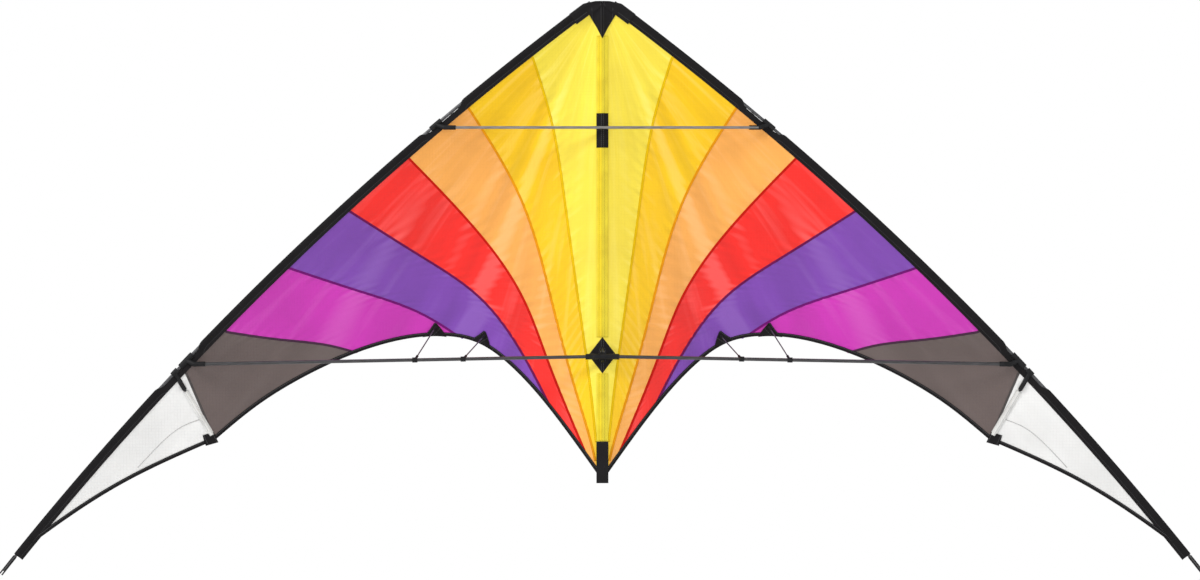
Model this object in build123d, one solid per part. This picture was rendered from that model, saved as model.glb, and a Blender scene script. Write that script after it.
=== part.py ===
from build123d import *
import os
from math import acos, asin, cos, degrees, hypot, pi, radians, sin, tanh

# A two-line delta kite. Millimetres. The origin is on the spine's axis at the centre tee,
# +Z points to the nose, +X to the flyer's right and +Y away from the flyer.
# The right half is modelled and the left half is its mirror image.

# Driving dimensions: plan of the sail
edge_radius = 4990.0  # arc along which the sail meets the leading-edge sleeve
nose_slope = 36.5  # degrees below level, where that arc crosses the centre line
nose_height = 560.0  # of that crossing, above the centre tee
sail_plane = -6.0  # Y of the leading edges and of the sail's centre line
billow_depth = 110.0  # how far the sail bellies back at most
billow_reach = 565.0  # distance from the nose over which it builds up
tape_width = 6.0
cloth = 0.6
inner_low, tip_low = -260.0, -420.0  # levels below the whole of each hem

# Driving dimensions: rods and fittings
spine_radius, spine_top, spine_bottom = 3.0, 545.0, -190.0
edge_rod_radius, edge_rod_inset = 2.5, 12.0  # the rod's centre lies outside the sail's arc
fitted_bore = edge_rod_radius + 0.03  # of every fitting fixed on the leading-edge rod
rod_start, rod_join, rod_end = 24.0, 775.0, 1306.0  # distances along the leading edge
spreader_plane = -14.0
lower_radius, upper_radius = 2.75, 2.25
lower_droop = 1.09  # degrees that each lower half falls towards the wing
lower_arm, lower_rod_end, lower_station = 628.0, 644.0, 880.0
upper_level, upper_arm, upper_rod_end, upper_station = 362.0, 232.0, 247.0, 336.0
batten_station, batten_radius = 906.0, 1.3
elbow = (618.0, -134.0)
running_gap = 0.35  # between a rod and a socket on another body
half_gap = 0.15  # from the centre plane to each half of the sail
tail_half, tail_top, tail_bottom = 9.5, -135.0, -201.0
tee_opening_half = 8.0
wear_half, wear_bottom, wear_top = 9.5, 330.5, 385.0  # the strip behind the upper spreader

# Leading-edge sleeve: distances where it starts, stops and is cut away
sleeve_start, sleeve_end = 66.0, 1289.0
upper_cutout, lower_cutout = (276.0, 368.0), (841.0, 960.0)

# Trailing edge and seams in plan, (x, z), from the centre out and from the leading edge in
inner_hem = [
    (8.9, -185), (75, -95.4), (151.2, -12.2), (201.3, 21.1), (268.5, 31.5),
    (374.2, 11.6), (479.9, -34.9), (548.3, -77.2), elbow,
]
outer_hem = [elbow, (762.7, -202.4), (886.6, -284.0), (965.0, -340.0)]  # runs on past the edge
seams = [
    [(110, 472.3), (80.8, 372.5), (60.2, 247.7), (33.9, 57.5), (17, -69.3), (10.1, -148.5)],
    [(211.9, 392.8), (129.3, 247.7), (81.5, 89.2), (43.1, -53.4), (13.3, -156.4)],
    [(306.5, 313.4), (225.7, 227.9), (125.8, 89.2), (89.6, -1.3), (29.2, -150)],
    [(402.6, 231.1), (289.1, 158.2), (193, 89.2), (146.9, 32.7), (79.9, -88.3)],
    [(499.3, 140.7), (384.2, 101.9), (289.1, 66.3), (225.4, 35)],
    [(594.8, 38.4), (511.8, 25.8), (431.7, 15.1), (397.2, 9.5)],
    [(658.6, -27.9), (640.6, -74.6), (622.6, -121.4)],
]
panel_names = [
    "pale_yellow", "golden_yellow", "orange", "red", "purple", "magenta", "grey", "white_tip",
]

# Stand-offs: where each ring sits on the spreader, and where its tip meets the sail
standoffs = {"outer": (296.6, (267.9, 44.9)), "inner": (220.2, (190.0, 31.0))}
standoff_radius, standoff_ball = 1.0, 2.2
standoff_patches = [
    [(284.0, 36.3), (250.5, 37.2), (267.0, 53.0)],
    [(207.0, 29.5), (177.0, 13.5), (185.5, 40.5)],
]

slope = radians(nose_slope)
arc_x, arc_z = -edge_radius * sin(slope), nose_height - edge_radius * cos(slope)
rod_arc = edge_radius + edge_rod_inset
rod_arc_start = asin(-arc_x / rod_arc)  # its angle from +Z where it crosses the centre plane
far = 400.0
Y = Vector(0, 1, 0)


def edge_point(along, outward=0.0):
    """A point at a distance along the leading-edge rod, moved outwards from its centre."""
    angle = rod_arc_start + along / rod_arc
    reach = rod_arc + outward
    return Vector(arc_x + reach * sin(angle), sail_plane, arc_z + reach * cos(angle))


def edge_frame(along):
    """The rod's cross-section plane there: its x is outwards and its y is +Y."""
    angle = rod_arc_start + along / rod_arc
    outward = Vector(sin(angle), 0, cos(angle))
    return Plane(origin=edge_point(along), x_dir=outward, z_dir=outward.cross(Y))


def along_edge(section, start, end):
    """A cross-section carried along the leading edge's arc."""
    axis = Axis((arc_x, 0, arc_z), (0, 1, 0))
    turn = degrees((end - start) / rod_arc)
    return Solid.revolve((edge_frame(start) * section).face(), turn, axis)


def sail_point(distance, share):
    """The sail at a distance from its apex and a share of the way from the spine to the edge.
    The belly is billow_depth * tanh(distance / billow_reach) * sin(pi * share)."""
    edge_angle = acos(distance / (2 * edge_radius)) - slope
    angle = share * edge_angle
    belly = billow_depth * tanh(distance / billow_reach) * sin(pi * share)
    x, z = distance * sin(angle), nose_height - distance * cos(angle)
    return Vector(x, sail_plane + belly, z)


def sail_depth(x, z):
    """Y of the sail at a place in plan."""
    distance = hypot(x, nose_height - z)
    edge_angle = acos(distance / (2 * edge_radius)) - slope
    share = asin(x / distance) / edge_angle
    return sail_plane + billow_depth * tanh(distance / billow_reach) * sin(pi * share)


def sail_surface():
    """One smooth face through a grid of sail points, a little past every edge."""
    distances = [12 + (1420 - 12) * i / 40 for i in range(41)]
    shares = [-0.03 + 1.06 * i / 24 for i in range(25)]
    grid = [[sail_point(d, s) for s in shares] for d in distances]
    return Face.make_surface_from_array_of_points(grid, tol=0.02)


def layer(front, back):
    """Cloth between two offsets along Y from the sail's surface."""
    return Solid.extrude(sail.moved(Location((0, front, 0))), Y * (back - front))


def solids_of(*shapes):
    """Every solid in some shapes or lists of shapes, without crumbs."""
    found = []
    for shape in shapes:
        if isinstance(shape, (list, tuple)):
            found += solids_of(*shape)
        elif shape is not None:
            found += [s for s in shape.solids() if s.volume > 0.5]
    return found


def common(shape, tool):
    return solids_of(shape.intersect(tool))


def without(shapes, *tools):
    return [s for shape in solids_of(shapes) for s in solids_of(shape.cut(*solids_of(tools)))]


def joined(*shapes):
    first, *rest = solids_of(shapes)
    return solids_of(first.fuse(*rest))


def polygon(points):
    """A flat region from its corners in plan."""
    return Face(Wire.make_polygon([(x, z, 0) for x, z in points], close=True))


def box_in_plan(x0, x1, z0, z1):
    return polygon([(x0, z0), (x1, z0), (x1, z1), (x0, z1)])


def prism(region, front=-far, back=far):
    """A region in plan, extruded along Y."""
    upright = Plane((0, front, 0), x_dir=(1, 0, 0), z_dir=(0, -1, 0)) * region
    return Solid.extrude(upright, Y * (back - front))


def flat_spline(points):
    return Edge.make_spline([Vector(x, z, 0) for x, z in points])


def region_between(first, second):
    """The region between two edges in plan, both drawn the same way."""
    closing = [
        Edge.make_line(first @ 1, second @ 1),
        Edge.make_line(first @ 0, second @ 0),
    ]
    return Face(Wire([first, closing[0], second, closing[1]]))


def moved_sideways(edge, distance, count):
    """A smooth edge at a constant distance to the left of another."""
    spots = [i / count for i in range(count + 1)]
    sides = [(edge % u).cross(Vector(0, 0, 1)) * -distance for u in spots]
    return Edge.make_spline([(edge @ u) + side for u, side in zip(spots, sides)])


def hem_regions(points, low, count):
    """The plan regions below a hem's outer and inner edges."""
    outer = flat_spline(points)
    floor = Edge.make_line((points[0][0], low, 0), (points[-1][0], low, 0))
    inner = moved_sideways(outer, tape_width, count)
    inner_floor = Edge.make_line(((inner @ 0).X, low, 0), ((inner @ 1).X, low, 0))
    return region_between(outer, floor), region_between(inner, inner_floor)


def extended(points, reach_out, reach_in):
    """A seam's points, run on past both of its ends."""
    def past(end, before, reach):
        step = Vector(end[0] - before[0], end[1] - before[1], 0).normalized() * reach
        return end[0] + step.X, end[1] + step.Y

    start = past(points[0], points[1], reach_out)
    stop = past(points[-1], points[-2], reach_in)
    return [start, *points, stop]


def panel_strips():
    """The plan region of each sail panel, before the sail's outline trims it."""
    edges = [Edge.make_line((half_gap, 620, 0), (half_gap, inner_low + 30, 0))]
    edges += [flat_spline(extended(seam, 30, 14)) for seam in seams]
    edges.append(Edge.make_line((1150, 60, 0), (1000, tip_low, 0)))  # beyond the wing's tip
    return [region_between(a, b) for a, b in zip(edges, edges[1:])]


def bar(start, end, radius):
    """A round bar between two points."""
    start, end = Vector(*start), Vector(*end)
    way = end - start
    return Solid.make_cylinder(radius, way.length, Plane(origin=start, z_dir=way))


def ball(centre, radius):
    return Pos(*centre) * Solid.make_sphere(radius, angle1=-90, angle2=90)


def limb(points, radius):
    """Round bars through some points, with a ball at each bend."""
    bars = [bar(a, b, radius) for a, b in zip(points, points[1:])]
    return joined(*bars, *[ball(p, radius) for p in points[1:]])


def collar(station, length, inner, outer):
    """A short tube on the leading-edge rod."""
    section = Circle(outer) - Circle(inner)
    return along_edge(section, station - length / 2, station + length / 2)


def rod_bore(station, reach):
    """The hole that a fitting leaves for the leading-edge rod, to both sides of its station."""
    return along_edge(Circle(fitted_bore), station - reach, station + reach)


def lower_axis(x):
    """A point on the lower spreader's axis."""
    return Vector(x, spreader_plane, -x * sin(radians(lower_droop)))


def left_of(shape):
    return [s.mirror(Plane.YZ) for s in solids_of(shape)]


def save(name, shapes):
    export_step(Compound(solids_of(shapes)), f"parts/{name}.step")


def save_pair(name, shapes):
    """One node on each wing."""
    save(f"{name}_right", shapes)
    save(f"{name}_left", left_of(shapes))


# Spine, centre tee and tail, which stay still while the wings fold

def tail_webbing():
    """A flat webbing in front with a closed pocket behind it for the spine's foot."""
    tall = tail_top - tail_bottom
    flat = Pos(0, sail_plane + 0.1, (tail_top + tail_bottom) / 2) * Box(2 * tail_half, 1.6, tall)
    pocket = bar((0, 0, tail_bottom), (0, 0, tail_top), 5.4)
    bore = bar((0, 0, spine_bottom - 4), (0, 0, tail_top + 1), 4.3)
    return without(joined(flat.solid(), pocket), bore)


def end_cap(tip, way):
    """A vinyl cap over the last 14 mm of the spine."""
    cap = bar((0, 0, tip - 12 * way), (0, 0, tip + 2 * way), 3.9)
    return without(cap, bar((0, 0, tip - 13 * way), (0, 0, tip), spine_radius))


def centre_tee():
    """A collar on the spine and two arms in front, each open at the back."""
    length, radius, bore = 26.5, 4.5, lower_radius + running_gap
    hub = bar((0, 0, -6.5), (0, 0, 6.5), 5.6)
    neck = Pos(0, -8.5, 0) * Box(8, 9, 11)
    arms, cuts = [], [bar((0, 0, -8), (0, 0, 8), spine_radius)]
    slot = prism(box_in_plan(4.4, 40, -3.5, 3.5), spreader_plane, -2)
    for side in (1, -1):
        root, tip = lower_axis(0), lower_axis(length)
        arm = bar(root, tip, radius)
        hole = bar(lower_axis(4.4), lower_axis(length + 2), bore)
        tilted = slot.rotate(Axis((0, 0, 0), (0, 1, 0)), lower_droop)
        cut = [hole, tilted]
        arms += [arm] if side == 1 else left_of(arm)
        cuts += cut if side == 1 else left_of(cut)
    return without(joined(hub, neck.solid(), *arms), *cuts)


# Leading edge

def sleeve_section(radius, bore):
    """Cloth folded round the rod, with its two sides sewn together inboard."""
    side, flat = 0.8 * radius, 0.6 * radius
    inboard = edge_rod_inset
    outline = [
        (-inboard, -0.6), (-8, -0.6), (-flat, -side), (-flat, side), (-8, 0.6), (-inboard, 0.6),
    ]
    return Circle(radius) + make_face(Polyline(*outline, close=True)) - Circle(bore)


def sleeve_band():
    """What is left of the sleeve where it is cut away from the rod."""
    inboard, outboard = -edge_rod_inset, -edge_rod_radius - 1.0
    return Pos((inboard + outboard) / 2, 0) * Rectangle(outboard - inboard, 1.2)


def leading_sleeve():
    section = sleeve_section(4.0, 3.4)
    runs = [sleeve_start, *upper_cutout, *lower_cutout, sleeve_end]
    parts = []
    for i, (a, b) in enumerate(zip(runs, runs[1:])):
        parts.append(along_edge(section if i % 2 == 0 else sleeve_band(), a, b))
    return joined(parts)


def tip_nock():
    """A cap over the rod's tip, split so that the tension loop can cross it."""
    body = along_edge(Circle(3.2), rod_end - 14, rod_end + 22)
    bore = along_edge(Circle(fitted_bore), rod_end - 15, rod_end)
    slot = along_edge(Rectangle(2.2, 8), rod_end + 8, rod_end + 23)
    return without(body, bore, slot)


def tension_loop():
    """A cord from the sleeve's end, through the nock and back on its other side."""
    cord, side, turn = 0.8, 4.1, rod_end + 11
    legs = []
    for way in (1, -1):
        section = Pos(0, way * side) * Circle(cord)
        legs.append(along_edge(section, sleeve_end, turn))
    frame = edge_frame(turn)
    axis = Axis(frame.origin, frame.x_dir)
    bend = Solid.revolve((frame * (Pos(0, side) * Circle(cord))).face(), 180, axis)
    lean = bend.center() - frame.origin
    if lean.dot(frame.z_dir) > 0:
        bend = Solid.revolve((frame * (Pos(0, side) * Circle(cord))).face(), -180, axis)
    return joined(legs, bend)


def lower_connector():
    """Moulded fitting from the leading edge to the lower spreader's outer end."""
    edge = edge_point(lower_station)
    body = joined(
        collar(lower_station, 28, fitted_bore, 4.6),
        limb([lower_axis(lower_arm), lower_axis(lower_rod_end + 2), edge], 3.9),
    )
    socket = bar(lower_axis(lower_arm - 6), lower_axis(lower_rod_end), lower_radius)
    return without(body, socket, rod_bore(lower_station, 30))


def upper_connector(open_front):
    """The same for the upper spreader. The right one lets the rod out forwards."""
    edge, level, y = edge_point(upper_station), upper_level, spreader_plane
    body = joined(
        collar(upper_station, 22, fitted_bore, 4.2),
        limb([(upper_arm, y, level), (upper_rod_end + 3, y, level), edge], 3.6),
    )
    bore = upper_radius + (running_gap if open_front else 0)
    end = upper_rod_end + (1 if open_front else 0)
    cuts = [
        bar((upper_arm - 6, y, level), (end, y, level), bore),
        rod_bore(upper_station, 20),
    ]
    if open_front:
        cuts.append(prism(box_in_plan(upper_arm - 6, end, level - bore, level + bore), y - 8, y))
    return without(body, *cuts)


# Tip batten: its peg on the leading edge, the rod and its pocket

def batten_spot(share):
    """A place on the batten's line in plan, from the leading edge to the elbow."""
    start = edge_point(batten_station)
    return start.X + (elbow[0] - start.X) * share, start.Z + (elbow[1] - start.Z) * share


def batten_point(share, lift=2.4):
    x, z = batten_spot(share)
    return Vector(x, sail_depth(x, z) - lift, z)


def batten_sweep(radius, start, end):
    middle = (start + end) / 2
    path = Edge.make_three_point_arc(*[batten_point(s) for s in (start, middle, end)])
    face = Plane(origin=path @ 0, z_dir=path % 0) * Circle(radius)
    return Solid.sweep(face.face(), Wire([path]))


def batten_peg():
    body = joined(
        collar(batten_station, 12, fitted_bore, 4.6),
        limb([edge_point(batten_station), batten_point(0.17), batten_point(0.24)], 3.7),
    )
    return without(body, rod_bore(batten_station, 9))


def batten_pocket(peg, patch):
    """A strip of cloth over the batten, sewn down on both sides."""
    (x0, z0), (x1, z1) = batten_spot(0.30), batten_spot(0.90)
    side = Vector(z1 - z0, x0 - x1, 0).normalized() * 4.5
    corners = [
        (x0 + side.X, z0 + side.Y), (x1 + side.X, z1 + side.Y),
        (x1 - side.X, z1 - side.Y), (x0 - side.X, z0 - side.Y),
    ]
    strip = common(layer(-4.2, 0), prism(polygon(corners)))
    return without(strip, batten_sweep(1.5, 0.2, 0.85), peg, patch)


# Stand-offs

def standoff_parts(ring_x, tip_plan):
    """A thin rod, and the group of its ring on the spreader and its ball end at the sail."""
    x, z = tip_plan
    tip = Vector(x, sail_depth(x, z) - 0.8 - 1.12 * standoff_ball - 0.4, z)
    foot = lower_axis(ring_x)
    way = (tip - foot).normalized()
    along = (lower_axis(ring_x + 4) - foot).normalized()
    ring = joined(
        bar(foot - along * 4, foot + along * 4, 4.1),
        bar(foot, foot + way * 13, 2.0),
    )
    ring_bore = bar(foot - along * 9, foot + along * 9, lower_radius + 0.25)
    end = joined(ball(tip, standoff_ball), bar(tip - way * 9, tip, 1.7))
    thin_rod = bar(foot + way * 5, tip - way * 2, standoff_radius)
    fittings = without(ring, ring_bore, thin_rod) + without(end, thin_rod)
    return thin_rod, fittings


# Cloth in plan

def nose_region():
    """The nose patch: level on top, a point below, and a stub along the leading edge."""
    inner = edge_point(sleeve_start, -edge_rod_inset)
    outer = edge_point(sleeve_start, 60)
    return polygon([
        (half_gap, 562.5), (13, 590), (outer.X, outer.Z), (inner.X, inner.Z),
        (21.5, 541), (half_gap, 504.5),
    ])


def elbow_region():
    return polygon([(619, -121), (637, -126), (632, -144), (612, -139)])


def build_cloth(peg):
    """The sail's panels, hems and patches on the right half, and the zones cut out of them."""
    below_outer, below_inner = hem_regions(inner_hem, inner_low, 40)
    tip_outer, tip_inner = hem_regions(outer_hem, tip_low, 16)
    inside_arc = prism((Pos(arc_x, arc_z) * Circle(edge_radius)).face())
    right_half = prism(box_in_plan(half_gap, 950, -400, 620))
    nose, elbow_zone = prism(nose_region()), prism(elbow_region())
    webbing = prism(box_in_plan(-12, 10.5, inner_low, tail_top + 1))
    tee = prism(box_in_plan(-12, tee_opening_half, -7.5, 7.5))
    inner_cut = [prism(below_inner), prism(tip_inner)]
    outer_cut = [prism(below_outer), prism(tip_outer)]

    base = common(common(layer(0, cloth), inside_arc)[0], right_half)
    base = without(base, *inner_cut, nose, webbing, tee, elbow_zone, peg)
    for name, strip in zip(panel_names, panel_strips()):
        save_pair(f"sail_panel_{name}", [common(s, prism(strip)) for s in base])

    hem = common(common(layer(-0.9, 1.5), inside_arc)[0], right_half)
    inner = [common(s, tool) for s in hem for tool in inner_cut]
    tape = without(joined(inner), *outer_cut, webbing, elbow_zone)
    save_pair("trailing_edge_tape", tape)

    front = layer(-0.8, 0)
    wear = common(front, prism(box_in_plan(half_gap, wear_half, wear_bottom, wear_top)))
    diamond = common(front, prism(polygon([
        (half_gap, 29), (20.8, 3.6), (20.8, 0), (half_gap, -26.5),
    ])))
    save_pair("centre_patches", wear + without(diamond, tee))
    triangles = [common(front, prism(polygon(p))) for p in standoff_patches]
    elbow_patch = common(common(layer(-4.2, 1.5), elbow_zone)[0], inside_arc)
    elbow_patch = without(elbow_patch, *outer_cut)
    save_pair("edge_patches", [without(triangles, *inner_cut), elbow_patch])
    nose_cloth = common(common(layer(-1.2, 0), nose)[0], inside_arc)
    return nose_cloth, nose, elbow_zone


def nose_patch(nose_cloth, nose):
    """Webbing round both rods' upper ends, with a point of cloth below."""
    stub = along_edge(sleeve_section(4.8, 3.4), 6, sleeve_start)
    kept = common(stub, nose)
    kept = [part for s in kept for part in common(s, prism(box_in_plan(half_gap, 80, 480, 562.5)))]
    spine_way = bar((0, 0, 480), (0, 0, 580), 4.4)
    return without(joined(without(kept, spine_way), without(nose_cloth, spine_way)),
                   along_edge(Circle(3.4), 0, sleeve_start + 1))


os.makedirs("parts", exist_ok=True)
sail = sail_surface()

save("spine_rod", bar((0, 0, spine_bottom), (0, 0, spine_top), spine_radius))
save("spine_end_caps", [end_cap(spine_top, 1), end_cap(spine_bottom, -1)])
save("centre_tee", centre_tee())
save("tail_webbing", tail_webbing())

rod_section = Circle(edge_rod_radius)
save_pair("leading_edge_upper_rod", along_edge(rod_section, rod_start, rod_join))
save_pair("leading_edge_lower_rod", along_edge(rod_section, rod_join, rod_end))
save_pair("leading_edge_ferrule", collar(rod_join, 80, fitted_bore, 3.2))
save_pair("tip_nock", tip_nock())
save_pair("tension_loop", tension_loop())
save_pair("lower_spreader_rod", bar(lower_axis(5), lower_axis(lower_rod_end), lower_radius))
upper_ends = [(x, spreader_plane, upper_level) for x in (-upper_rod_end, upper_rod_end)]
save("upper_spreader_rod", bar(*upper_ends, upper_radius))
lower_fitting, peg = lower_connector(), batten_peg()
upper_right, upper_left = upper_connector(True), upper_connector(False)
save_pair("lower_connector", lower_fitting)
save("upper_connector_right", upper_right)
save("upper_connector_left", left_of(upper_left))
save_pair("leading_edge_sleeve", without(leading_sleeve(), lower_fitting, peg, upper_left))

nose_cloth, nose, elbow_zone = build_cloth(peg)
save_pair("nose_patch", nose_patch(nose_cloth, nose))
tip_batten = batten_sweep(batten_radius, 0.24, 0.84)
save_pair("tip_batten", [tip_batten, peg])
save_pair("batten_pocket", batten_pocket(peg, elbow_zone))
for place, (ring_x, tip_plan) in standoffs.items():
    thin_rod, fittings = standoff_parts(ring_x, tip_plan)
    save_pair(f"standoff_rod_{place}", thin_rod)
    save_pair(f"standoff_fittings_{place}", fittings)
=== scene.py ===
import math
import bpy
import numpy as np
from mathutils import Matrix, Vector


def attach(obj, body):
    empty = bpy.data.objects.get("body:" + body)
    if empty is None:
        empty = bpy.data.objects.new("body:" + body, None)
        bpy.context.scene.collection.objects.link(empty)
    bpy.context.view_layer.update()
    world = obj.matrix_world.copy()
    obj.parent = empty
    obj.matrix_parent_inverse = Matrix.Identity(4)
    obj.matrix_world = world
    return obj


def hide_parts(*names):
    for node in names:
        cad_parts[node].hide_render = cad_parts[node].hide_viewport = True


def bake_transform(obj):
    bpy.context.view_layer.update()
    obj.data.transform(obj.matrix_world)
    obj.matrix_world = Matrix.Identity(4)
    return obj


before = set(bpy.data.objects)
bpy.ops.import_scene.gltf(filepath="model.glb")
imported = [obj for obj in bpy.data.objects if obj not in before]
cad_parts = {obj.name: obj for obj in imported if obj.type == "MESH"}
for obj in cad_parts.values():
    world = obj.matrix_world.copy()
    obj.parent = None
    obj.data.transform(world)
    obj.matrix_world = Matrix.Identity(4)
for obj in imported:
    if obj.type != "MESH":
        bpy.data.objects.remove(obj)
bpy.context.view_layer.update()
print("frame loaded")

# Lengths are in millimetres until a mesh is made. x is the span, z is up, y goes into the belly.
sail = {"edgeRadius": 4990.0, "noseSlope": 36.5, "noseHeight": 560.0, "plane": -6.0,
        "billow": 110.0, "reach": 565.0, "rodInset": 12.0, "footLevel": -150.0, "centreGap": 0.02}
blackCloth, blackWebbing = (0.013, 0.012, 0.013), (0.015, 0.014, 0.015)

# Each wave: how many across the sail, its phase, and the middle and width of where it shows,
# as distances from the nose. The cross folds lie round one place near the stand-offs.
creases = {"depth": 0.825, "drift": 260.0, "waves": ((23, 0.4, 190, 150), (31, 2.1, 420, 210),
                                                     (41, 4.0, 300, 120), (17, 1.2, 620, 190),
                                                     (53, 3.3, 560, 160), (37, 5.2, 760, 180)),
           "cross": {"height": 0.55, "length": 17.0, "slant": 1.7, "x": 175, "z": 60, "wide": 90, "tall": 70},
           # The puckers' tone is how strongly they are painted on the cloth as shade and highlight.
           "puckerHeight": 0.36, "puckerLength": 15.0, "puckerReach": 19.0, "puckerPaintedShading": 0.55,
           "puckerFade": 150.0}

panels = {
    "pale_yellow": (1.0, 0.80, 0.06), "golden_yellow": (1.0, 0.60, 0.0), "orange": (1.0, 0.44, 0.09),
    "red": (0.96, 0.018, 0.012), "purple": (0.205, 0.058, 0.43), "magenta": (0.60, 0.030, 0.46),
    "grey": (0.130, 0.098, 0.092), "white_tip": (0.86, 0.86, 0.85)}
seams = [
    [(110, 472.3), (80.8, 372.5), (60.2, 247.7), (33.9, 57.5), (17, -69.3), (9.0, -148.5)],
    [(211.9, 392.8), (129.3, 247.7), (81.5, 89.2), (43.1, -53.4), (14.5, -152), (8.8, -178)],
    [(306.5, 313.4), (225.7, 227.9), (125.8, 89.2), (89.6, -1.3), (24, -160)],
    [(402.6, 231.1), (289.1, 158.2), (193, 89.2), (146.9, 32.7), (79.9, -88.3)],
    [(499.3, 140.7), (384.2, 101.9), (289.1, 66.3), (225.4, 26.6)],
    [(594.8, 38.4), (511.8, 25.8), (431.7, 15.1), (393.0, 4.0)],
    [(658.6, -27.9), (640.6, -74.6), (618.0, -134.0)]]
innerHem = [(8.6, -185.0), (75, -95.4), (151.2, -12.2), (201.3, 21.1), (268.5, 31.5),
            (374.2, 11.6), (479.9, -34.9), (548.3, -77.2), (618.0, -134.0)]
outerHem = [(618.0, -134.0), (762.7, -202.4), (886.6, -284.0), (903.5, -296.5)]
slope = math.radians(sail["noseSlope"])
arcX = -sail["edgeRadius"] * math.sin(slope)
arcZ = sail["noseHeight"] - sail["edgeRadius"] * math.cos(slope)
rodArc = sail["edgeRadius"] + sail["rodInset"]
sides = (("right", 1), ("left", -1))


# A point a distance along the leading-edge rod and a distance outwards from its centre:
# centre of the arc + (radius + out) * (sin angle, cos angle), angle growing with the distance.
def edgeAt(along, out=0.0):
    angle = math.asin(-arcX / rodArc) + np.asarray(along, float) / rodArc
    reach = rodArc + np.asarray(out, float)
    return np.stack([arcX + reach * np.sin(angle), arcZ + reach * np.cos(angle)], -1)


# Share of the way from the spine to the edge, and distance from the nose, of a place in plan.
def shareAt(x, z):
    distance = np.hypot(x, sail["noseHeight"] - z) + 1e-6
    edge = np.arccos(distance / (2 * sail["edgeRadius"])) - slope
    return np.arcsin(np.clip(np.abs(x) / distance, 0, 1)) / edge, distance


# Belly = billow * tanh(distance / reach) * sin(pi * share), plus soft creases that fan out of
# the nose: a sum of sines of the share, each fading in and out along the distance. Returned with
# the creases alone, which the cloth's material paints as shade and highlight.
def clothDepth(x, z):
    share, distance = shareAt(x, z)
    inside = np.clip(share, 0, 1)
    belly = sail["billow"] * np.tanh(distance / sail["reach"]) * np.sin(math.pi * inside)
    fan = np.zeros_like(belly)
    for count, phase, middle, width in creases["waves"]:
        swell = np.exp(-((distance - middle) / width) ** 2)
        fan += swell * np.sin(count * share + phase + distance / creases["drift"]) * (14 / count) ** 0.5
    fold = creases["cross"]
    near = np.exp(-((x - fold["x"]) / fold["wide"]) ** 2 - ((z - fold["z"]) / fold["tall"]) ** 2)
    cross = fold["height"] * np.sin((x + fold["slant"] * z) / fold["length"]) * near
    still = np.clip(np.sin(math.pi * inside), 0, 1) ** 0.8 * np.clip((distance - 40) / 120, 0, 1)
    crease = (fan + cross) * still
    return sail["plane"] + belly + creases["depth"] * crease, crease


# The smooth curve through some points: a natural cubic spline over the distance between them.
def curveThrough(points, count):
    p = np.array(points, float)
    t = np.concatenate([[0], np.cumsum(np.linalg.norm(np.diff(p, axis=0), axis=1))])
    h = np.diff(t)
    n = len(p)
    a = np.eye(n)
    b = np.zeros((n, p.shape[1]))
    inner = np.arange(1, n - 1)
    a[inner, inner - 1], a[inner, inner], a[inner, inner + 1] = h[:-1], 2 * (h[:-1] + h[1:]), h[1:]
    b[1:-1] = 6 * (np.diff(p[1:], axis=0) / h[1:, None] - np.diff(p[:-1], axis=0) / h[:-1, None])
    m = np.linalg.solve(a, b)
    s = np.linspace(0, t[-1], count)
    i = np.clip(np.searchsorted(t, s, side="right") - 1, 0, n - 2)
    u, v, w = (t[i + 1] - s)[:, None], (s - t[i])[:, None], h[i][:, None]
    return (m[i] * u ** 3 + m[i + 1] * v ** 3) / (6 * w) + \
        (p[i] / w - m[i] * w / 6) * u + (p[i + 1] / w - m[i + 1] * w / 6) * v


# A curve again with evenly spaced points, and the stretch of it between two places.
def evenly(curve, count):
    along = np.concatenate([[0], np.cumsum(np.linalg.norm(np.diff(curve, axis=0), axis=1))])
    at = np.linspace(0, along[-1], count)
    return np.stack([np.interp(at, along, curve[:, k]) for k in range(curve.shape[1])], -1)


def stretchOf(curve, first, last, count):
    near = [int(np.argmin(np.linalg.norm(curve - np.array(p), axis=1))) for p in (first, last)]
    part = curve[near[0]:near[1] + 1] if near[1] > near[0] else curve[[near[0], near[0]]]
    part = part.copy()
    part[0], part[-1] = first, last
    return evenly(part, count)


hemLine = np.concatenate([curveThrough(innerHem, 1200), curveThrough(outerHem, 500)[1:]])


# Unit normals in plan of a curve, to its left.
def leftOf(curve):
    way = np.gradient(curve, axis=0)
    way /= np.linalg.norm(way, axis=1)[:, None]
    return np.stack([-way[:, 1], way[:, 0]], -1)


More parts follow.
